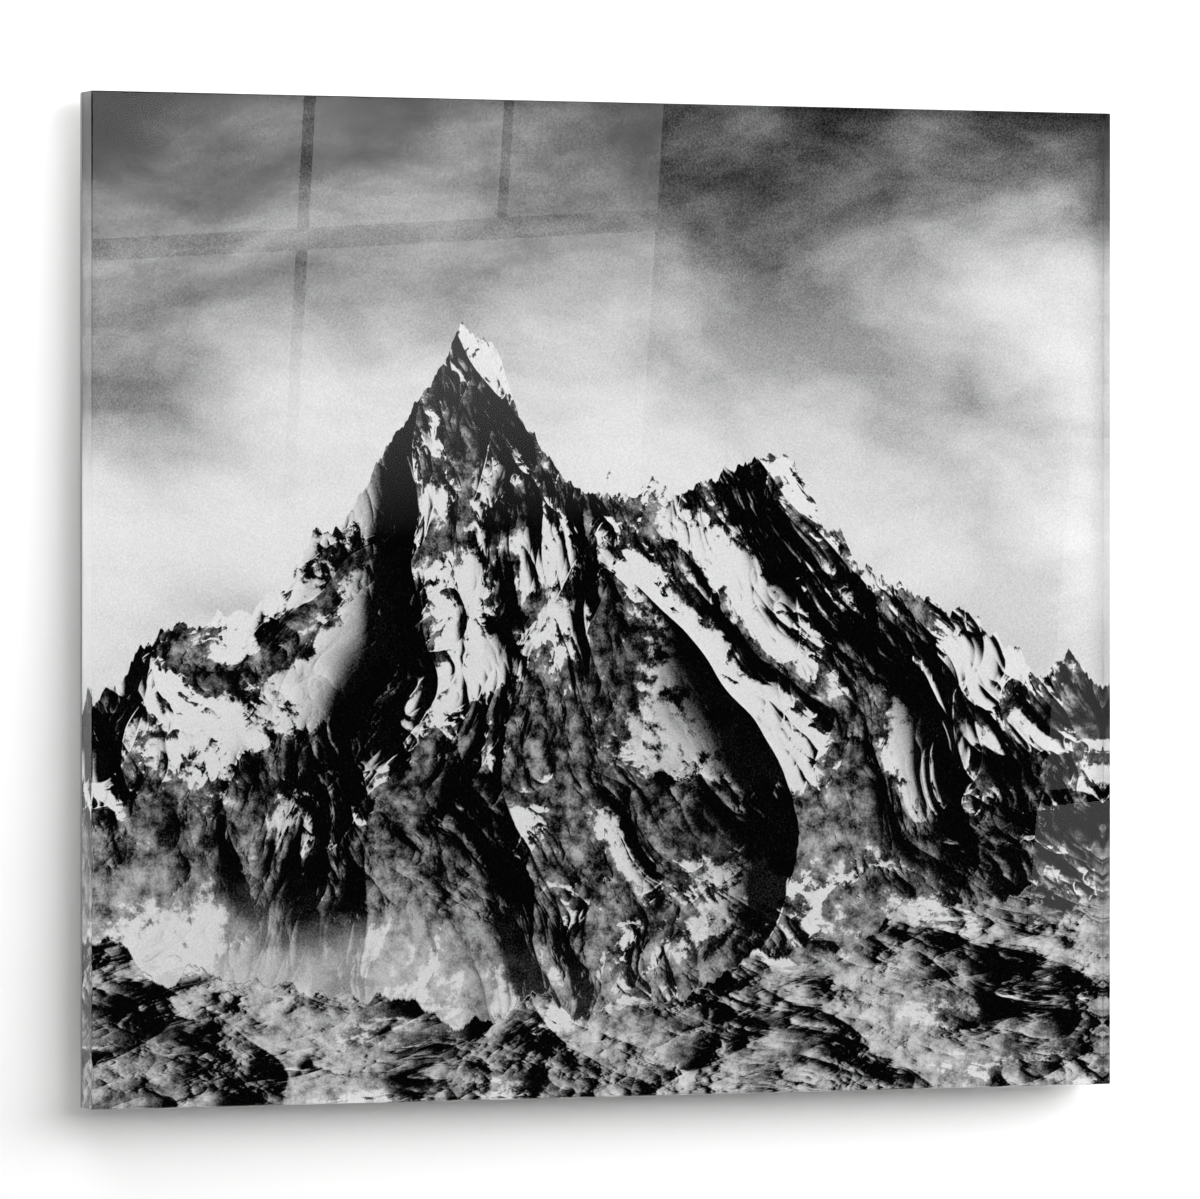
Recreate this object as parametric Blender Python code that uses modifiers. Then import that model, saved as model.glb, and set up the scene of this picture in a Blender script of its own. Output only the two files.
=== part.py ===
"""Acrylic wall print.

A thick clear acrylic sheet carries a photographic print bonded to its back. A thin composite board
backs the print, and four mitred aluminium channels glued to the board form the frame that hangs the
panel clear of the wall.

Metres, +Z up. The picture faces -Y and the wall is towards +Y. The origin is the middle of the lower
edge of the top channel's rear flange, the edge that rests on the wall hooks.
"""
import math

import bmesh
import bpy
from mathutils import Vector

# Panel, seen from the front
PANEL_WIDTH = 0.660
PANEL_HEIGHT = 0.600
CORNER_EASE = 0.0006      # the upright corners are eased by hand, so they still look square
EASE_SEGMENTS = 2

# Layers, from the front to the back
ACRYLIC_THICKNESS = 0.018
FRONT_ARRIS = 0.0008      # polished round along the front edges
ARRIS_SEGMENTS = 3
FILM_THICKNESS = 0.0003
BACKING_THICKNESS = 0.003
BACKING_ARRIS = 0.0002    # edge broken by the router
BACKING_ARRIS_SEGMENTS = 1
GLUE_LINE = 0.0003        # clear gap between two layers

# Hanging frame, a U channel whose mouth faces the middle of the panel
CHANNEL_DEPTH = 0.015     # from the backing towards the wall
CHANNEL_FACE = 0.020      # from the web's outer face to the flange edges
CHANNEL_WALL = 0.002
CHANNEL_ARRIS = 0.0003
FRAME_INSET = 0.080       # from the panel's edge to the web's outer face
MITRE_GAP = 0.0003        # between two channels at a corner

# Distances worked out from the sizes above
FRAME_WIDTH = PANEL_WIDTH - 2 * FRAME_INSET
FRAME_HEIGHT = PANEL_HEIGHT - 2 * FRAME_INSET
PANEL_CENTRE_Z = CHANNEL_FACE - FRAME_HEIGHT / 2
FRAME_BACK_Y = CHANNEL_WALL / 2
FRAME_FRONT_Y = FRAME_BACK_Y - CHANNEL_DEPTH
BACKING_FRONT_Y = FRAME_FRONT_Y - GLUE_LINE - BACKING_THICKNESS
FILM_FRONT_Y = BACKING_FRONT_Y - GLUE_LINE - FILM_THICKNESS
ACRYLIC_FRONT_Y = FILM_FRONT_Y - GLUE_LINE - ACRYLIC_THICKNESS
LAYER_EDGE_LIMIT = FILM_THICKNESS / 2    # an edge that spans more depth than this crosses its layer

COLLECTION_NAME = "acrylic_wall_print"


def clear_scene():
    """Removes every object, so that the script can be run again in the same file."""
    for thing in list(bpy.data.objects):
        bpy.data.objects.remove(thing, do_unlink=True)


def new_collection(name):
    collection = bpy.data.collections.new(name)
    bpy.context.scene.collection.children.link(collection)
    return collection


def surface(name, colour, roughness, metallic=0.0, transmission=0.0):
    """Returns a plain Principled material."""
    material = bpy.data.materials.new(name)
    material.use_nodes = True
    shader = material.node_tree.nodes["Principled BSDF"]
    shader.inputs["Base Color"].default_value = (*colour, 1.0)
    shader.inputs["Roughness"].default_value = roughness
    shader.inputs["Metallic"].default_value = metallic
    shader.inputs["Transmission Weight"].default_value = transmission
    material.diffuse_color = (*colour, 1.0)
    return material


def add_object(name, mesh_maker, material, collection, parent):
    """Turns a bmesh into a named object that hangs under the panel's centre."""
    mesh = bpy.data.meshes.new(name)
    mesh_maker.to_mesh(mesh)
    mesh_maker.free()
    mesh.materials.append(material)
    thing = bpy.data.objects.new(name, mesh)
    thing.parent = parent
    collection.objects.link(thing)
    return thing


def box(width, depth, height):
    """Returns a bmesh box centred on the origin."""
    maker = bmesh.new()
    bmesh.ops.create_cube(maker, size=1.0)
    bmesh.ops.scale(maker, vec=(width, depth, height), verts=maker.verts)
    return maker


def ease(maker, edges, width, segments):
    bmesh.ops.bevel(maker, geom=edges, offset=width, offset_type="OFFSET", segments=segments,
                    profile=0.5, affect="EDGES", clamp_overlap=True)


def layer(name, thickness, front_y, material, collection, parent):
    """Makes one full-size layer of the panel, with its front face at front_y and its corners eased."""
    maker = box(PANEL_WIDTH, thickness, PANEL_HEIGHT)
    ease(maker, [edge for edge in maker.edges if runs_through(edge)], CORNER_EASE, EASE_SEGMENTS)
    thing = add_object(name, maker, material, collection, parent)
    thing.location.y = front_y + thickness / 2
    return thing


def runs_through(edge):
    """Tells whether an edge of a layer crosses its thickness."""
    return abs(edge.verts[0].co.y - edge.verts[1].co.y) > LAYER_EDGE_LIMIT


def round_rim(thing, side, width, segments):
    """Rounds the rim of a layer's front face, side -1, or of its rear face, side 1."""
    maker = bmesh.new()
    maker.from_mesh(thing.data)
    rim = [edge for edge in maker.edges if not runs_through(edge) and edge.verts[0].co.y * side > 0]
    ease(maker, rim, width, segments)
    maker.to_mesh(thing.data)
    maker.free()


def channel_cutter(length, collection, parent):
    """Makes the box that hollows a channel, open at its mouth and at both ends."""
    overrun = CHANNEL_WALL
    maker = box(length + 2 * overrun, CHANNEL_DEPTH - 2 * CHANNEL_WALL, CHANNEL_FACE)
    bmesh.ops.translate(maker, vec=(0, 0, -CHANNEL_WALL), verts=maker.verts)
    mesh = bpy.data.meshes.new("channel_hollow")
    maker.to_mesh(mesh)
    maker.free()
    cutter = bpy.data.objects.new("channel_hollow", mesh)
    cutter.parent = parent
    cutter.hide_render = True
    cutter.display_type = "WIRE"
    collection.objects.link(cutter)
    return cutter


def channel(name, length, turn, reach, material, collection, cutters, parent):
    """Makes one mitred channel. Locally it runs along X, with its web up and its mouth down.

    turn is the angle about Y that brings the web to its side of the frame, and reach is the distance
    from the panel's centre to the web's outer face.
    """
    maker = box(length, CHANNEL_DEPTH, CHANNEL_FACE)
    pull_back = MITRE_GAP / 2 * math.sqrt(2)
    for vert in maker.verts:
        end = math.copysign(1, vert.co.x)
        to_web = CHANNEL_FACE / 2 - vert.co.z
        vert.co.x -= end * (to_web + pull_back)
    thing = add_object(name, maker, material, collection, parent)
    thing.rotation_euler.y = turn
    thing.location = Vector((math.sin(turn), 0, math.cos(turn))) * (reach - CHANNEL_FACE / 2)
    thing.location.y = (FRAME_FRONT_Y + FRAME_BACK_Y) / 2

    cutter = channel_cutter(length, cutters, parent)
    cutter.rotation_euler.y = turn
    cutter.location = thing.location
    hollow = thing.modifiers.new("hollow", "BOOLEAN")
    hollow.operation = "DIFFERENCE"
    hollow.solver = "EXACT"
    hollow.object = cutter
    arris = thing.modifiers.new("arris", "BEVEL")
    arris.width = CHANNEL_ARRIS
    arris.segments = 1
    arris.limit_method = "ANGLE"
    arris.angle_limit = math.radians(40)
    return thing


def clear_acrylic():
    return surface("clear_acrylic", (0.95, 0.97, 0.96), 0.02, transmission=1.0)


def photographic_print():
    return surface("photographic_print", (0.22, 0.22, 0.22), 0.35)


def lacquered_composite():
    return surface("lacquered_composite", (0.80, 0.80, 0.79), 0.45)


def anodised_aluminium():
    return surface("anodised_aluminium", (0.72, 0.73, 0.74), 0.38, metallic=1.0)


def build():
    clear_scene()
    parts = new_collection(COLLECTION_NAME)
    cutters = new_collection("cutters")

    centre = bpy.data.objects.new("panel_centre", None)
    centre.location = (0, 0, PANEL_CENTRE_Z)
    parts.objects.link(centre)

    acrylic = layer("acrylic_sheet", ACRYLIC_THICKNESS, ACRYLIC_FRONT_Y, clear_acrylic(), parts, centre)
    round_rim(acrylic, -1, FRONT_ARRIS, ARRIS_SEGMENTS)
    layer("print_film", FILM_THICKNESS, FILM_FRONT_Y, photographic_print(), parts, centre)
    backing = layer("backing_board", BACKING_THICKNESS, BACKING_FRONT_Y, lacquered_composite(), parts, centre)
    round_rim(backing, 1, BACKING_ARRIS, BACKING_ARRIS_SEGMENTS)

    metal = anodised_aluminium()
    sides = {
        "channel_top": (FRAME_WIDTH, 0.0, FRAME_HEIGHT / 2),
        "channel_right": (FRAME_HEIGHT, math.pi / 2, FRAME_WIDTH / 2),
        "channel_bottom": (FRAME_WIDTH, math.pi, FRAME_HEIGHT / 2),
        "channel_left": (FRAME_HEIGHT, -math.pi / 2, FRAME_WIDTH / 2),
    }
    for name, (length, turn, reach) in sides.items():
        channel(name, length, turn, reach, metal, parts, cutters, centre)


build()
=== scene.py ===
import math

import bmesh
import bpy
from mathutils import Matrix, Vector


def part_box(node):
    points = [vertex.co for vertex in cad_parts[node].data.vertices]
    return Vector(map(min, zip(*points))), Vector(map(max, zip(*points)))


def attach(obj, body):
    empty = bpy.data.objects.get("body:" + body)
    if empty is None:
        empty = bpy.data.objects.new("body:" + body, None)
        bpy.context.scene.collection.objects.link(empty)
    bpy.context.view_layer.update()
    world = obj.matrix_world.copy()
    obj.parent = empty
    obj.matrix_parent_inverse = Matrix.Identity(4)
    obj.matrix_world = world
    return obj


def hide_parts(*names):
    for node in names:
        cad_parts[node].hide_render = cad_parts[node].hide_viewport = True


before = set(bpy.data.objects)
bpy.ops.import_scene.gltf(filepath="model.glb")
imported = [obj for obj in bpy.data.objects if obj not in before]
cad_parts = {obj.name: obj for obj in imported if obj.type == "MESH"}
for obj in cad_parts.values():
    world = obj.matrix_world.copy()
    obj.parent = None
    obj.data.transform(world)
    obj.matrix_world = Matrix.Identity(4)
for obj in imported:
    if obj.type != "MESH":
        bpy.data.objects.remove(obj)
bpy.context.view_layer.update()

# Viewpoint
# The panel is seen from a long way off, a little to its left and almost level with its middle, through
# a long lens. The angle, distance and lens follow from how its four edges converge in the photograph.

VIEW_AZIMUTH = math.radians(-21.36)
VIEW_ELEVATION = math.radians(0.206)
VIEW_DISTANCE = 4.8535    # in metres
VIEW_LENS = 241.54        # in millimetres, in front of a sensor 36 mm wide
AIM_ASIDE = -0.00885      # the camera aims this far beside the panel's middle, in metres

acrylic_low, acrylic_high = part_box("acrylic_sheet")
panel_middle = (acrylic_low + acrylic_high) / 2
panel_size = acrylic_high - acrylic_low
front_y = acrylic_low.y
aim = Vector((panel_middle.x + AIM_ASIDE, front_y, panel_middle.z))

camera_data = bpy.data.cameras.new("camera")
camera_data.lens = VIEW_LENS
camera_data.sensor_width = 36
camera_data.clip_end = 50
camera = bpy.data.objects.new("camera", camera_data)
towards_camera = Vector((math.sin(VIEW_AZIMUTH) * math.cos(VIEW_ELEVATION),
                         -math.cos(VIEW_AZIMUTH) * math.cos(VIEW_ELEVATION),
                         math.sin(VIEW_ELEVATION)))
camera.location = aim + towards_camera * VIEW_DISTANCE
camera.rotation_euler = towards_camera.to_track_quat("Z", "Y").to_euler()
bpy.context.scene.collection.objects.link(camera)
bpy.context.scene.camera = camera


# Hanging frame
# Four U channels of natural anodised aluminium, sawn to a mitre and glued to the board. The extrusion
# leaves fine lines along each length, and the anodising turns the metal a soft, slightly grey satin.

MM = 0.001
EXTRUSION_LINE_WIDTH = 0.35 * MM     # real ones are finer: these are as coarse as shows in the render
EXTRUSION_LINE_LENGTH = 60 * MM
EXTRUSION_LINE_DEPTH = 0.05 * MM
ANODISING_CLOUD = 40 * MM


def srgb(code):
    """Turns an sRGB hex colour such as "#C8C8C6" into a linear one with alpha."""
    channels = [int(code[i:i + 2], 16) / 255 for i in (1, 3, 5)]
    return (*[c / 12.92 if c <= 0.04045 else ((c + 0.055) / 1.055) ** 2.4 for c in channels], 1.0)


def fill(tree, node, sockets):
    """Sets a node's sockets, or links them where another node's output is given."""
    for key, value in sockets.items():
        if isinstance(value, bpy.types.NodeSocket):
            tree.links.new(value, node.inputs[key])
        else:
            node.inputs[key].default_value = value


def add(tree, kind, sockets=None, output=0, **settings):
    """Adds a node with its settings and sockets, and returns one of its outputs."""
    node = tree.nodes.new("ShaderNode" + kind)
    for name, value in settings.items():
        setattr(node, name, value)
    fill(tree, node, sockets or {})
    return node.outputs[output]


def new_material(name):
    """Returns a plain material, its node tree and its Principled shader."""
    material = bpy.data.materials.new(name)
    material.use_nodes = True
    return material, material.node_tree, material.node_tree.nodes["Principled BSDF"]


def natural_anodised_aluminium(name, along):
    """Anodised extrusion: lines along the length break up its soft highlight."""
    material, tree, shader = new_material(name)
    place = add(tree, "TexCoord", output="Object")
    fine, coarse = 1 / EXTRUSION_LINE_WIDTH, 1 / EXTRUSION_LINE_LENGTH
    stretch = [coarse if axis == along else fine for axis in "XYZ"]
    lines = add(tree, "Mapping", {"Vector": place, "Scale": stretch})
    streaks = add(tree, "TexNoise", {"Vector": lines, "Scale": 1, "Detail": 3, "Roughness": 0.6})
    cloudy = add(tree, "TexNoise", {"Vector": place, "Scale": 1 / ANODISING_CLOUD, "Detail": 2})
    tone = add(tree, "Mix", {0: cloudy, 6: srgb("#C6C7C8"), 7: srgb("#D8D8D7")}, 2, data_type="RGBA")
    worn = add(tree, "MapRange", {"Value": streaks, "To Min": 0.30, "To Max": 0.46})
    ridges = add(tree, "Bump", {"Height": streaks, "Strength": 0.25, "Distance": EXTRUSION_LINE_DEPTH})
    fill(tree, shader, {"Base Color": tone, "Metallic": 1.0, "Roughness": worn, "Normal": ridges})
    return material


def dress(node, material):
    """Gives a CAD node its finished material."""
    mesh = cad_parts[node].data
    mesh.materials.clear()
    mesh.materials.append(material)


level_metal = natural_anodised_aluminium("anodised_aluminium_level", "X")
upright_metal = natural_anodised_aluminium("anodised_aluminium_upright", "Z")
for side, metal in {"top": level_metal, "bottom": level_metal,
                    "left": upright_metal, "right": upright_metal}.items():
    dress("channel_" + side, metal)


# Backing board
# Aluminium composite, two thin lacquered skins on a grey plastic core, bonded behind the print and
# routed flush with the acrylic. Its edge shows from the side as a thin line that hardly stands out.

SKIN_THICKNESS = 0.4 * MM
ORANGE_PEEL = 1.2 * MM
ORANGE_PEEL_DEPTH = 0.05 * MM
LACQUER_CLOUD = 90 * MM


def lacquered_composite(low, high):
    """Coil-coated aluminium on polyethylene: pale, faintly pebbled faces and a grey routed edge."""
    material, tree, shader = new_material("lacquered_composite")
    place = add(tree, "TexCoord", output="Object")
    depth = add(tree, "SeparateXYZ", {"Vector": place}, "Y")
    middle, reach = (low + high) / 2, (high - low) / 2 - SKIN_THICKNESS
    in_core = add(tree, "Math", {0: depth, 1: middle, 2: reach}, operation="COMPARE")
    peel = add(tree, "TexNoise", {"Vector": place, "Scale": 1 / ORANGE_PEEL, "Detail": 1})
    clouding = add(tree, "TexNoise", {"Vector": place, "Scale": 1 / LACQUER_CLOUD, "Detail": 3})
    lacquer = add(tree, "Mix", {0: clouding, 6: srgb("#DADAD7"), 7: srgb("#E4E4E2")}, 2, data_type="RGBA")
    colour = add(tree, "Mix", {0: in_core, 6: lacquer, 7: srgb("#A0A1A2")}, 2, data_type="RGBA")
    pebbles = add(tree, "Bump", {"Height": peel, "Strength": 0.12, "Distance": ORANGE_PEEL_DEPTH})
    fill(tree, shader, {"Base Color": colour, "Roughness": 0.42, "Normal": pebbles})
    return material


board_low, board_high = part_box("backing_board")
dress("backing_board", lacquered_composite(board_low.y, board_high.y))


# Print
# A black-and-white photographic print on thin polyester, bonded to the acrylic with a clear adhesive
# film. The adhesive wets both faces, so there is no air between the print and the acrylic.

WETTING = 0.05 * MM       # the print's face lies this far inside the acrylic's back
CORNER_EASE = 0.6 * MM    # the corners are eased together with the acrylic's

film_low, film_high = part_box("print_film")


def bonded_print():
    """The print and its adhesive: one thin sheet whose face lies just inside the acrylic's back."""
    low = Vector((film_low.x, acrylic_high.y - WETTING, film_low.z))
    size = film_high - low
    maker = bmesh.new()
    bmesh.ops.create_cube(maker, size=1.0)
    bmesh.ops.scale(maker, vec=size, verts=maker.verts)
    bmesh.ops.translate(maker, vec=low + size / 2, verts=maker.verts)
    corners = [edge for edge in maker.edges if edge.verts[0].co.xz == edge.verts[1].co.xz]
    bmesh.ops.bevel(maker, geom=corners, offset=CORNER_EASE, segments=2, profile=0.5, affect="EDGES")
    mesh = bpy.data.meshes.new("bonded_print")
    maker.to_mesh(mesh)
    maker.free()
    sheet = bpy.data.objects.new("bonded_print", mesh)
    bpy.context.scene.collection.objects.link(sheet)
    return sheet


# The picture: a generic mountain under drifting cloud, worked out from noise. Tones run from 0 to 1, and
# a patch is the place in the endless noise where the picture is cut out of it, in metres.

SKY_TOP_TONE = 0.42
SKY_LOW_TONE = 0.78
SKY_LEFT_SHADE = -0.03
SKY_RIGHT_SHADE = 0.06
SKY_CORNER_SHADE = -0.06
WISP_SIZE = 316 * MM
WISP_CONTRAST = 0.15
BANK_SIZE = 667 * MM
BANK_CONTRAST = 0.10
SWIRL = 150 * MM
SWIRL_SIZE = 353 * MM
CLOUD_FLATNESS = 1.9
CLOUD_SLANT = math.radians(-20)
CLOUD_PATCH = (8.3, 1.1, 0)

# Ridge lines as points across and up from the picture's middle, in millimetres.
MAIN_RIDGE = [(-330, -60), (-262, -22), (-200, 20), (-150, 74), (-108, 140), (-88, 160), (-50, 112),
              (0, 74), (50, 58), (96, 84), (150, 36), (230, -4), (330, -52)]
NEAR_RIDGE = [(-330, -206), (-200, -232), (-60, -246), (60, -236), (180, -200), (330, -176)]

# Light, snow and mist on the rock.
SUNLIGHT = (0.80, 0.35, 0.48)     # comes from the right, from above and from the viewer's side
SUN_ON_ROCK, SHADE_ON_ROCK = 1.5, 0.09
SUN_ON_SNOW, SHADE_ON_SNOW = 1.0, 0.05
SNOW_ON_LEDGES = 0.75
SNOW_IN_GRIT = 0.9
SNOW_ROUGHNESS = 0.3              # snow fills the fine relief and shows this part of it
RELIEF_PATCH = (12.2, 0, 0)
STIR_SIZE = 160 * MM
GRIT_SIZE = 13 * MM
VAPOUR_SIZE = 260 * MM
VAPOUR_RISE = 280 * MM
MIST_TONE = 0.78

# The print's own answer to light. The last two stand for how much light comes in through the acrylic to
# the print, and how much of the print's own light the acrylic's faces send back to it.
GRAIN_SIZE = 1.1 * MM     # real silver grain is finer: this is as coarse as shows in the render
GRAIN_STRENGTH = 0.10
DEEPEST_TONE = 0.15       # prints as black
PALEST_TONE = 0.86        # prints as white
DISPLAY_GAMMA = 2.2
LIGHT_REACHING_PRINT = 0.70
LIGHT_SENT_BACK = 0.60


def sky(tree, flat, x, z):
    """Wind-drawn cloud: dark above, bright low down, darkest in the upper right corner."""
    swept = add(tree, "Mapping", {"Vector": flat, "Location": CLOUD_PATCH, "Rotation": (0, 0, CLOUD_SLANT),
                                  "Scale": (1, CLOUD_FLATNESS, 1)})
    swirl = add(tree, "TexNoise", {"Vector": swept, "Scale": 1 / SWIRL_SIZE, "Detail": 3}, "Color",
                noise_dimensions="2D")
    swirled = add(tree, "VectorMath", {0: swirl, 1: [SWIRL] * 3, 2: swept}, operation="MULTIPLY_ADD")
    wisps = add(tree, "TexNoise", {"Vector": swirled, "Scale": 1 / WISP_SIZE, "Detail": 7,
                                   "Roughness": 0.56}, noise_dimensions="2D")
    banks = add(tree, "TexNoise", {"Vector": swirled, "Scale": 1 / BANK_SIZE, "Detail": 3,
                                   "Roughness": 0.45}, noise_dimensions="2D")
    diagonal = add(tree, "Math", {0: x, 1: z}, operation="ADD")
    tone = add(tree, "MapRange", {"Value": z, "From Min": 300 * MM, "From Max": 0, "To Min": SKY_TOP_TONE,
                                  "To Max": SKY_LOW_TONE})
    shades = [
        add(tree, "MapRange", {"Value": x, "From Min": -330 * MM, "From Max": 330 * MM,
                               "To Min": SKY_LEFT_SHADE, "To Max": SKY_RIGHT_SHADE}),
        add(tree, "MapRange", {"Value": wisps, "From Min": 0.36, "From Max": 0.66,
                               "To Min": -WISP_CONTRAST, "To Max": WISP_CONTRAST}),
        add(tree, "MapRange", {"Value": banks, "From Min": 0.35, "From Max": 0.65,
                               "To Min": -BANK_CONTRAST, "To Max": BANK_CONTRAST}),
        add(tree, "MapRange", {"Value": diagonal, "From Min": 330 * MM, "From Max": 630 * MM,
                               "To Min": 0, "To Max": SKY_CORNER_SHADE}),
    ]
    for shade in shades:
        tone = add(tree, "Math", {0: tone, 1: shade}, operation="ADD")
    return tone, swirled


def ridge_line(tree, x, points, jag_height, jag_size, start):
    """The height of a jagged ridge line at each x: a smooth curve through a few points, and noise."""
    half_width, half_height = panel_size.x / 2, panel_size.z / 2
    across = add(tree, "MapRange", {"Value": x, "From Min": -half_width, "From Max": half_width})
    curved = add(tree, "FloatCurve", {"Value": across})
    mapping = curved.node.mapping
    curve = mapping.curves[0]
    places = [(0.5 + a * MM / panel_size.x, 0.5 + b * MM / panel_size.z) for a, b in points]
    curve.points[0].location, curve.points[1].location = places[0], places[-1]
    for place in places[1:-1]:
        curve.points.new(*place)
    mapping.update()
    smooth = add(tree, "MapRange", {"Value": curved, "To Min": -half_height, "To Max": half_height})
    along = add(tree, "Math", {0: x, 1: start}, operation="ADD")
    teeth = add(tree, "TexNoise", {"W": along, "Scale": 1 / jag_size, "Detail": 6, "Roughness": 0.56},
                noise_dimensions="1D")
    jags = add(tree, "MapRange", {"Value": teeth, "From Min": 0.3, "From Max": 0.7, "To Min": -jag_height,
                                  "To Max": jag_height}, clamp=False)
    return add(tree, "Math", {0: smooth, 1: jags}, operation="ADD")


def below_ridge(tree, ridge, z):
    """1 below a ridge line and 0 above it, with an edge under a millimetre wide."""
    depth = add(tree, "Math", {0: ridge, 1: z}, operation="SUBTRACT")
    return add(tree, "MapRange", {"Value": depth, "From Max": 0.9 * MM})


def fall_lines(tree, x, z, stir, apex, flatness, swirl):
    """Coordinates that fan out downwards from an apex, stirred a little, so that ribs run downhill."""
    drop = add(tree, "Math", {0: apex[1], 1: z}, operation="SUBTRACT")
    aside = add(tree, "Math", {0: x, 1: apex[0]}, operation="SUBTRACT")
    share = add(tree, "Math", {0: aside, 1: drop}, operation="DIVIDE")
    spread = add(tree, "Math", {0: share, 1: apex[1]}, operation="MULTIPLY")
    level = add(tree, "Math", {0: z, 1: flatness}, operation="MULTIPLY")
    fanned = add(tree, "CombineXYZ", {"X": spread, "Y": level})
    return add(tree, "VectorMath", {0: stir, 1: [swirl] * 3, 2: fanned}, operation="MULTIPLY_ADD")


def relief(tree, at, near, sizes, depths, detail, roughness, gain, step):
    """A field of sharp ribs: its height from 0 to about 2, and its slopes. Sizes and depths are given for
    the far mountain and for the near ground, and like the step they are in millimetres."""
    scale = add(tree, "MapRange", {"Value": near, "To Min": 1 / (sizes[0] * MM),
                                   "To Max": 1 / (sizes[1] * MM)})
    steepness = add(tree, "MapRange", {"Value": near, "To Min": depths[0] / step,
                                       "To Max": depths[1] / step})
    heights = []
    for offset in ((0, 0, 0), (step * MM, 0, 0), (0, step * MM / 2, 0)):
        moved = add(tree, "VectorMath", {0: at, 1: offset}, operation="ADD")
        heights.append(add(tree, "TexNoise", {"Vector": moved, "Scale": scale, "Detail": detail,
                                              "Roughness": roughness, "Lacunarity": 2.1, "Offset": 0.93,
                                              "Gain": gain}, noise_dimensions="2D",
                           noise_type="RIDGED_MULTIFRACTAL", normalize=False))
    slopes = []
    for moved in heights[1:]:
        fall = add(tree, "Math", {0: heights[0], 1: moved}, operation="SUBTRACT")
        slopes.append(add(tree, "Math", {0: fall, 1: steepness}, operation="MULTIPLY"))
    return heights[0], add(tree, "CombineXYZ", {"X": slopes[0], "Y": slopes[1], "Z": 1})


def sunlit(tree, slopes):
    """Light on a surface with those slopes, and the surface's normal."""
    normal = add(tree, "VectorMath", {0: slopes}, operation="NORMALIZE")
    facing = add(tree, "VectorMath", {0: normal, 1: SUNLIGHT}, "Value", operation="DOT_PRODUCT")
    return add(tree, "Math", {0: facing, 1: 0}, operation="MAXIMUM"), normal


def rock_and_snow(tree, broad, fine, grit, snow_level, darkest, palest):
    """Shades rock ribs with snow lying in their hollows, from a broad and a fine relief. The tone is the
    light's square root, which steps evenly to the eye."""
    fine_height, fine_slopes = fine
    flat_part = add(tree, "VectorMath", {0: fine_slopes, 1: (1, 1, 0)}, operation="MULTIPLY")
    rock_slopes = add(tree, "VectorMath", {0: broad[1], 1: flat_part}, operation="ADD")
    snow_slopes = add(tree, "VectorMath", {0: flat_part, 1: [SNOW_ROUGHNESS] * 3, 2: broad[1]},
                      operation="MULTIPLY_ADD")
    rock_light, rock_normal = sunlit(tree, rock_slopes)
    snow_light, _ = sunlit(tree, snow_slopes)

    upward = add(tree, "SeparateXYZ", {"Vector": rock_normal}, "Y")
    hollow = add(tree, "MapRange", {"Value": fine_height, "From Max": 2, "To Min": 0.55, "To Max": -0.75},
                 clamp=False)
    lie = add(tree, "Math", {0: upward, 1: SNOW_ON_LEDGES, 2: hollow}, operation="MULTIPLY_ADD")
    lie = add(tree, "Math", {0: grit, 1: SNOW_IN_GRIT, 2: lie}, operation="MULTIPLY_ADD")
    lie = add(tree, "Math", {0: lie, 1: snow_level}, operation="ADD")
    snow_share = add(tree, "MapRange", {"Value": lie, "From Min": 0.55, "From Max": 0.71})

    stone = add(tree, "MapRange", {"Value": grit, "From Min": 0.3, "From Max": 0.7, "To Min": darkest,
                                   "To Max": palest})
    on_rock = add(tree, "Math", {0: rock_light, 1: SUN_ON_ROCK, 2: SHADE_ON_ROCK}, operation="MULTIPLY_ADD")
    rock = add(tree, "Math", {0: stone, 1: on_rock}, operation="MULTIPLY")
    snow = add(tree, "Math", {0: snow_light, 1: SUN_ON_SNOW, 2: SHADE_ON_SNOW}, operation="MULTIPLY_ADD")
    light = add(tree, "Mix", {0: snow_share, 2: rock, 3: snow})
    return add(tree, "Math", {0: light, 1: 0.5}, operation="POWER")


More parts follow.
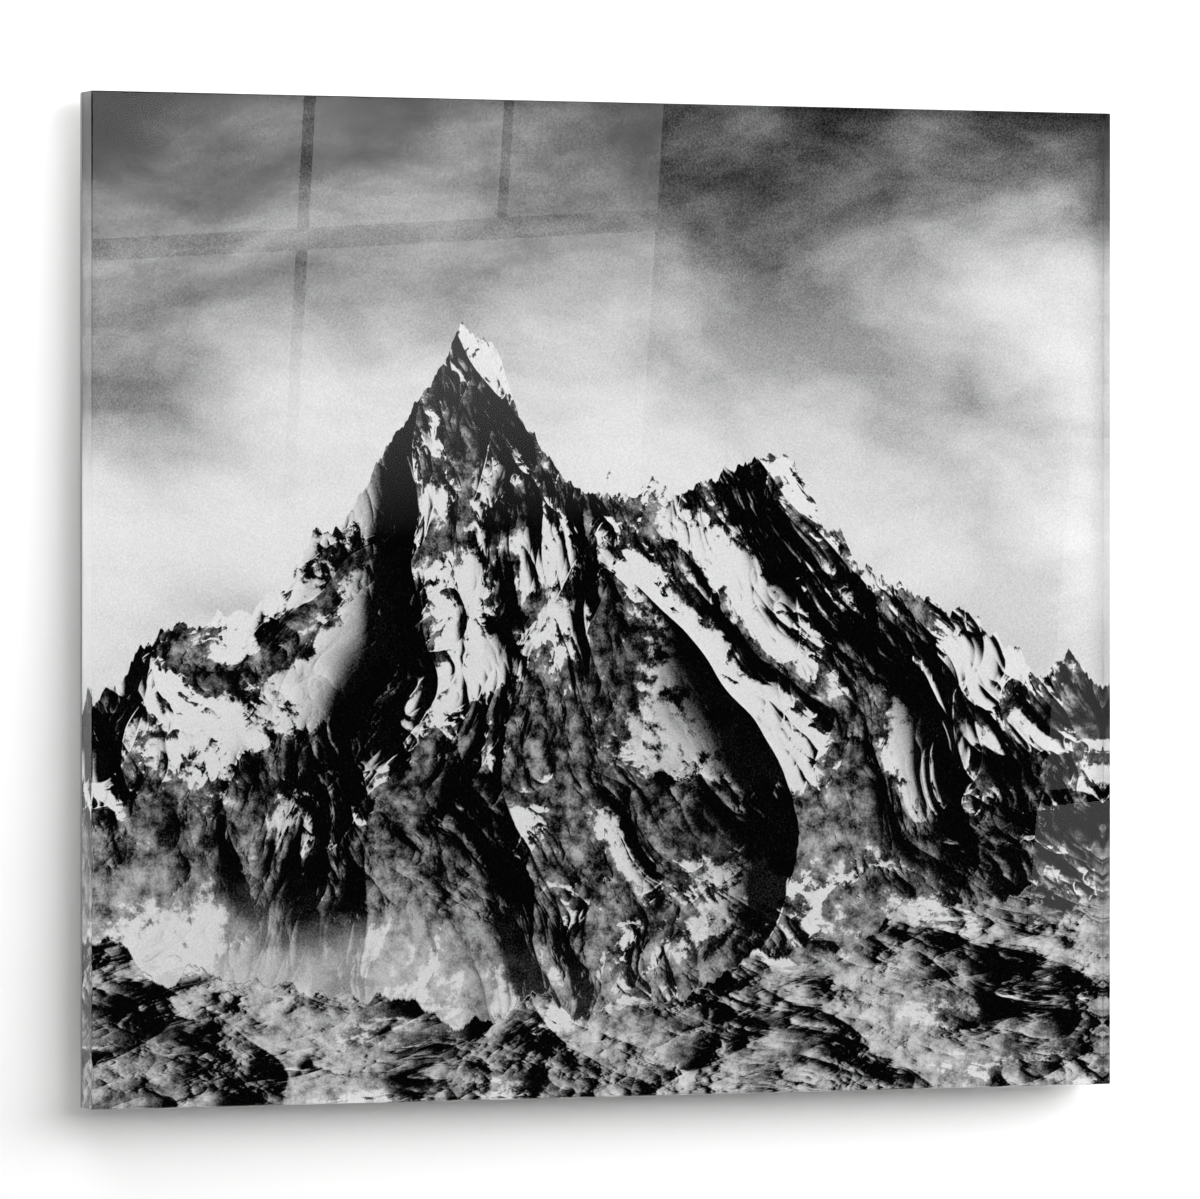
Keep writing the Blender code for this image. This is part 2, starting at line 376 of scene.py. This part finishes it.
def mountain_view(tree):
    """The tones of the whole picture, evenly stepped to the eye, before the paper's own contrast."""
    place = add(tree, "TexCoord", output="Object")
    centred = add(tree, "VectorMath", {0: place, 1: panel_middle}, operation="SUBTRACT")
    x = add(tree, "SeparateXYZ", {"Vector": centred}, "X")
    z = add(tree, "SeparateXYZ", {"Vector": centred}, "Z")
    flat = add(tree, "CombineXYZ", {"X": x, "Y": z})
    clouds, drift = sky(tree, flat, x, z)
    near_line = ridge_line(tree, x, NEAR_RIDGE, jag_height=14 * MM, jag_size=60 * MM, start=3)
    main_line = ridge_line(tree, x, MAIN_RIDGE, jag_height=24 * MM, jag_size=80 * MM, start=0)
    near = below_ridge(tree, near_line, z)
    land = add(tree, "Math", {0: below_ridge(tree, main_line, z), 1: near}, operation="MAXIMUM")

    shifted = add(tree, "VectorMath", {0: flat, 1: RELIEF_PATCH}, operation="ADD")
    stir = add(tree, "TexNoise", {"Vector": shifted, "Scale": 1 / STIR_SIZE, "Detail": 2}, "Color",
               noise_dimensions="2D")
    stir = add(tree, "VectorMath", {0: stir, 1: [0.5] * 3}, operation="SUBTRACT")
    far_lines = fall_lines(tree, x, z, stir, apex=(-72 * MM, 600 * MM), flatness=0.6, swirl=60 * MM)
    near_lines = fall_lines(tree, x, z, stir, apex=(250 * MM, 420 * MM), flatness=1.5, swirl=50 * MM)
    lines = add(tree, "Mix", {0: near, 4: far_lines, 5: near_lines}, 1, data_type="VECTOR")
    lines = add(tree, "VectorMath", {0: lines, 1: RELIEF_PATCH}, operation="ADD")
    broad = relief(tree, lines, near, sizes=(150, 120), depths=(36, 15), detail=4, roughness=0.5, gain=1.8,
                   step=1.0)
    fine = relief(tree, lines, near, sizes=(66, 56), depths=(12, 7), detail=5, roughness=0.48, gain=1.6,
                  step=0.6)
    grit = add(tree, "TexNoise", {"Vector": flat, "Scale": 1 / GRIT_SIZE, "Detail": 4, "Roughness": 0.7},
               noise_dimensions="2D")
    snow_level = add(tree, "MapRange", {"Value": z, "From Min": -180 * MM, "From Max": 150 * MM,
                                        "To Min": -0.17, "To Max": 0.15})
    snow_level = add(tree, "Math", {0: near, 1: -0.13, 2: snow_level}, operation="MULTIPLY_ADD")
    darkest = add(tree, "MapRange", {"Value": near, "To Min": 0.03, "To Max": 0.16})
    palest = add(tree, "MapRange", {"Value": near, "To Min": 0.24, "To Max": 0.40})
    ground = rock_and_snow(tree, broad, fine, grit, snow_level, darkest, palest)

    vapour = add(tree, "TexNoise", {"Vector": drift, "Scale": 1 / VAPOUR_SIZE, "Detail": 4},
                 noise_dimensions="2D")
    mist_height = add(tree, "Math", {0: vapour, 1: VAPOUR_RISE, 2: z}, operation="MULTIPLY_ADD")
    thickness = add(tree, "MapRange", {"Value": x, "From Min": -300 * MM, "From Max": 120 * MM,
                                       "To Min": 0.85, "To Max": 0.20})
    mist = add(tree, "MapRange", {"Value": mist_height, "From Min": 30 * MM, "From Max": -110 * MM,
                                  "To Max": thickness}, interpolation_type="SMOOTHSTEP")
    far = add(tree, "Math", {0: 1, 1: near}, operation="SUBTRACT")
    mist = add(tree, "Math", {0: mist, 1: far}, operation="MULTIPLY")
    veiled = add(tree, "Mix", {0: mist, 2: ground, 3: MIST_TONE})
    return add(tree, "Mix", {0: land, 2: clouds, 3: veiled})


def film_grain(tree):
    """Silver grain, even over the whole print. The noise is turned so that its lattice doesn't show."""
    place = add(tree, "TexCoord", output="Object")
    turned = add(tree, "Mapping", {"Vector": place, "Rotation": (0.6, 0.5, 0.7)})
    grain = add(tree, "TexNoise", {"Vector": turned, "Scale": 1 / GRAIN_SIZE, "Detail": 1})
    return add(tree, "MapRange", {"Value": grain, "From Min": 0.2, "From Max": 0.8,
                                  "To Min": -GRAIN_STRENGTH, "To Max": GRAIN_STRENGTH})


def silver_print():
    """Black-and-white print under clear adhesive: the adhesive leaves it no gloss of its own. The acrylic
    sends part of the print's light back to it, which brightens pale tones more, so they start darker."""
    material, tree, shader = new_material("silver_print")
    tone = add(tree, "MapRange", {"Value": mountain_view(tree), "From Min": DEEPEST_TONE,
                                  "From Max": PALEST_TONE}, interpolation_type="SMOOTHSTEP")
    tone = add(tree, "Math", {0: tone, 1: film_grain(tree)}, operation="ADD")
    tone = add(tree, "Math", {0: tone, 1: 0}, operation="MAXIMUM")
    seen = add(tree, "Math", {0: tone, 1: DISPLAY_GAMMA}, operation="POWER")
    gain = add(tree, "Math", {0: seen, 1: LIGHT_SENT_BACK, 2: LIGHT_REACHING_PRINT},
               operation="MULTIPLY_ADD")
    grey = add(tree, "Math", {0: seen, 1: gain}, operation="DIVIDE")
    fill(tree, shader, {"Base Color": grey, "Roughness": 0.5, "Specular IOR Level": 0.0})
    return material


print_sheet = bonded_print()
print_sheet.data.materials.append(silver_print())
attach(print_sheet, "root")
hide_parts("print_film")


# Acrylic sheet
# Clear cast acrylic, sawn to size and polished on its edges and corners. Its index of 1.49 gives the
# front a gloss like glass, and lets the edges show the print's margin a second time.


def cast_acrylic():
    """Cast acrylic: colourless, dead smooth and see-through."""
    material, tree, shader = new_material("cast_acrylic")
    fill(tree, shader, {"Base Color": srgb("#FFFFFF"), "Roughness": 0.0, "IOR": 1.49,
                        "Transmission Weight": 1.0})
    return material


dress("acrylic_sheet", cast_acrylic())


# Wall and floor
# Plain pale studio surfaces, which aren't part of the panel. The wall is there to catch its shadow: it is
# open where the hanging frame covers it, and from behind it lets the camera and the light through.

WALL_GAP = 0.5 * MM       # between the channels' backs and the wall
WALL_SIZE = 7.0
FLOOR_DROP = 1.2          # from the panel's lower edge to the floor
FLOOR_LIFT = 0.40


def wall_paint():
    """Matt white emulsion, seen only from the front. It casts no shadow and doesn't light the panel's
    back: rays that leave a first matt surface pass through it."""
    material, tree, shader = new_material("matt_white_emulsion")
    fill(tree, shader, {"Base Color": srgb("#F6F6F6"), "Roughness": 0.9, "Specular IOR Level": 0.0})
    backface = add(tree, "NewGeometry", output="Backfacing")
    straight = add(tree, "LightPath", output="Is Camera Ray")
    to_lamp = add(tree, "LightPath", output="Is Shadow Ray")
    scattered = add(tree, "LightPath", output="Is Diffuse Ray")
    depth = add(tree, "LightPath", output="Ray Depth")
    from_behind = add(tree, "Math", {0: backface, 1: straight}, operation="MULTIPLY")
    first = add(tree, "Math", {0: depth, 1: 1.5}, operation="LESS_THAN")
    first_scattered = add(tree, "Math", {0: scattered, 1: first}, operation="MULTIPLY")
    open_way = add(tree, "Math", {0: from_behind, 1: to_lamp}, operation="MAXIMUM")
    open_way = add(tree, "Math", {0: open_way, 1: first_scattered}, operation="MAXIMUM")
    clear = add(tree, "BsdfTransparent")
    mixed = add(tree, "MixShader", {0: open_way, 1: shader.outputs[0], 2: clear})
    fill(tree, tree.nodes["Material Output"], {"Surface": mixed})
    return material


def floor_paint():
    """Matt pale grey. The camera sees it a little lighter than the light that it throws on the wall."""
    material, tree, shader = new_material("matt_grey_floor_paint")
    straight = add(tree, "LightPath", output="Is Camera Ray")
    lift = add(tree, "Math", {0: straight, 1: FLOOR_LIFT}, operation="MULTIPLY")
    fill(tree, shader, {"Base Color": srgb("#C9C9C7"), "Roughness": 0.9, "Specular IOR Level": 0.0,
                        "Emission Color": srgb("#FFFFFF"), "Emission Strength": lift})
    return material


def flat_stage(name, corners, faces, material):
    """A flat mesh that is only there for the picture."""
    mesh = bpy.data.meshes.new(name)
    mesh.from_pydata(corners, [], faces)
    mesh.materials.append(material)
    plane = bpy.data.objects.new(name, mesh)
    bpy.context.scene.collection.objects.link(plane)


def upright_corners(low_x, high_x, low_z, high_z, y):
    """The four corners of a rectangle that stands parallel to the panel."""
    return [(low_x, y, low_z), (high_x, y, low_z), (high_x, y, high_z), (low_x, y, high_z)]


frame_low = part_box("channel_bottom")[0]
frame_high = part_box("channel_top")[1]
wall_y = frame_high.y + WALL_GAP
reach = WALL_SIZE / 2
outer = upright_corners(-reach, reach, panel_middle.z - reach, panel_middle.z + reach, wall_y)
inner = upright_corners(frame_low.x, frame_high.x, frame_low.z, frame_high.z, wall_y)
flat_stage("wall", outer + inner, [(0, 1, 5, 4), (1, 2, 6, 5), (2, 3, 7, 6), (3, 0, 4, 7)], wall_paint())

floor_z = acrylic_low.z - FLOOR_DROP
floor_corners = [(-reach, wall_y - WALL_SIZE, floor_z), (reach, wall_y - WALL_SIZE, floor_z),
                 (reach, wall_y, floor_z), (-reach, wall_y, floor_z)]
flat_stage("floor", floor_corners, [(0, 1, 2, 3)], floor_paint())


# Light
# A broad soft source from the upper right and a small one from the upper left keep the wall white and
# throw the panel's shadow to the left and below. Two more light the back for a camera behind the wall.


def area_light(name, placing, width, height, power):
    """A rectangle of light that shines along its own -Z."""
    light = bpy.data.lights.new(name, "AREA")
    light.shape = "RECTANGLE"
    light.size = width
    light.size_y = height
    light.energy = power
    lamp = bpy.data.objects.new(name, light)
    lamp.matrix_world = placing
    lamp.visible_camera = False
    bpy.context.scene.collection.objects.link(lamp)
    return lamp


def soft_box(name, direction, distance, width, height, power):
    """A light that faces the panel's middle from an azimuth and an elevation, and isn't mirrored in it."""
    azimuth, elevation = (math.radians(angle) for angle in direction)
    way = Vector((math.sin(azimuth) * math.cos(elevation), -math.cos(azimuth) * math.cos(elevation),
                  math.sin(elevation)))
    placing = way.to_track_quat("Z", "Y").to_matrix().to_4x4()
    placing.translation = panel_middle + way * distance
    lamp = area_light(name, placing, width, height, power)
    lamp.visible_glossy = False
    return lamp


def lamp_shader(lamp):
    """Returns a lamp's node tree and its Emission node."""
    lamp.data.use_nodes = True
    return lamp.data.node_tree, lamp.data.node_tree.nodes["Emission"]


def rear_box(name, direction, power):
    """A light behind the wall. It lights only what the camera sees, straight or mirrored once, so it
    doesn't lighten the shadow on the wall's front."""
    tree, shader = lamp_shader(soft_box(name, direction, 2.6, 2.4, 1.8, power))
    depth = add(tree, "LightPath", output="Ray Depth")
    scatterings = add(tree, "LightPath", output="Diffuse Depth")
    near_camera = add(tree, "Math", {0: depth, 1: 2.5}, operation="LESS_THAN")
    unscattered = add(tree, "Math", {0: scatterings, 1: 0.5}, operation="LESS_THAN")
    strength = add(tree, "Math", {0: near_camera, 1: unscattered}, operation="MULTIPLY")
    fill(tree, shader, {"Strength": strength})


soft_box("key_light", direction=(38, 18), distance=2.0, width=3.6, height=1.4, power=84)
soft_box("fill_light", direction=(-45, 40), distance=1.3, width=0.9, height=0.7, power=8)
rear_box("rear_light", direction=(150, 35), power=46)
rear_box("rear_top_light", direction=(180, 62), power=80)

# A tall window, far off to the right and turned so that its bars lean as in the photo. It is there only to
# be mirrored in the acrylic. Its panes are given in its own plane, in metres across and up from the place
# where its main bar and its rail cross.

WINDOW_DISTANCE = 2.0
WINDOW_CROSSING = (0.4993, 0.1016)      # across and up, in metres
WINDOW_YAW = math.radians(-8.0)
WINDOW_PITCH = math.radians(-14.5)
WINDOW_ROLL = math.radians(-4.0)
WINDOW_LIGHT = 2.3
RAIL_SHARE = 0.15         # the rail is pale enough to send back this part of that light
SIDE_PANE_SHARE = 0.7
LEFT, RIGHT = -0.300, 0.347
TOP, FOOT = 0.250, -0.300
BAR = 0.0056              # half the main bar's width
RAIL = 0.0096             # half the rail's height
SIDE_BAR = (0.1885, 0.198)


def window_pane(name, left, right, low, high, brightness, fades=False):
    """One bright pane, which can fade towards its foot."""
    width, height = right - left, high - low
    facing = Matrix.Rotation(WINDOW_YAW, 4, "Z") @ Matrix.Rotation(WINDOW_PITCH, 4, "X")
    facing = facing @ Matrix.Rotation(WINDOW_ROLL, 4, "Y") @ Matrix.Rotation(math.radians(90), 4, "X")
    crossing = Vector((WINDOW_CROSSING[0], front_y - WINDOW_DISTANCE, WINDOW_CROSSING[1]))
    middle = Vector(((left + right) / 2, (low + high) / 2, 0))
    placing = Matrix.Translation(crossing) @ facing @ Matrix.Translation(middle)
    lamp = area_light(name, placing, width, height, brightness * math.pi * width * height)
    lamp.visible_diffuse = False
    lamp.visible_transmission = False
    if fades:
        tree, shader = lamp_shader(lamp)
        place = add(tree, "NewGeometry", output="Parametric")
        height_share = add(tree, "SeparateXYZ", {"Vector": place}, "Y")
        strength = add(tree, "MapRange", {"Value": height_share, "From Min": 0.1})
        fill(tree, shader, {"Strength": strength})


window_pane("pane_upper_left", LEFT, -BAR, RAIL, TOP, WINDOW_LIGHT)
window_pane("pane_upper_middle", BAR, SIDE_BAR[0], RAIL, TOP, WINDOW_LIGHT)
window_pane("pane_upper_right", SIDE_BAR[1], RIGHT, RAIL, TOP, WINDOW_LIGHT * SIDE_PANE_SHARE)
window_pane("pane_lower_left", LEFT, -BAR, FOOT, -RAIL, WINDOW_LIGHT, fades=True)
window_pane("pane_lower_right", BAR, RIGHT, FOOT, -RAIL, WINDOW_LIGHT, fades=True)
window_pane("rail", LEFT, RIGHT, -RAIL, RAIL, WINDOW_LIGHT * RAIL_SHARE)
window_pane("far_pane_upper", 0.793, 0.870, -0.211, -0.176, 0.4)
window_pane("far_pane_lower", 0.797, 0.880, -0.560, -0.227, 0.8)
window_pane("far_pane_foot", 0.790, 0.900, -0.690, -0.575, 1.2)

# The room's even light. Straight and through the acrylic it looks white. Mirrored it is dark in front of
# the wall, so that the acrylic keeps its deep blacks, and pale behind, where it lights the metal.

ROOM_SEEN = 0.90
ROOM_LIGHT = 0.10
ROOM_MIRRORED_FRONT = 0.03
ROOM_MIRRORED_BACK = 0.80

world = bpy.data.worlds.new("studio")
world.use_nodes = True
bpy.context.scene.world = world
tree = world.node_tree
straight = add(tree, "LightPath", output="Is Camera Ray")
refracted = add(tree, "LightPath", output="Is Transmission Ray")
reflected = add(tree, "LightPath", output="Is Glossy Ray")
open_view = add(tree, "Math", {0: straight, 1: refracted}, operation="MAXIMUM")
strength = add(tree, "MapRange", {"Value": open_view, "To Min": ROOM_LIGHT, "To Max": ROOM_SEEN})
mirrored = add(tree, "Math", {0: reflected, 1: open_view}, operation="SUBTRACT", use_clamp=True)
direction = add(tree, "TexCoord", output="Generated")
backwards = add(tree, "SeparateXYZ", {"Vector": direction}, "Y")
mirrored_strength = add(tree, "MapRange", {"Value": backwards, "From Min": -0.02, "From Max": 0.02,
                                           "To Min": ROOM_MIRRORED_FRONT, "To Max": ROOM_MIRRORED_BACK})
strength = add(tree, "Mix", {0: mirrored, 2: strength, 3: mirrored_strength})
fill(tree, tree.nodes["Background"], {"Color": srgb("#FFFFFF"), "Strength": strength})

bpy.context.scene.view_settings.view_transform = "Standard"
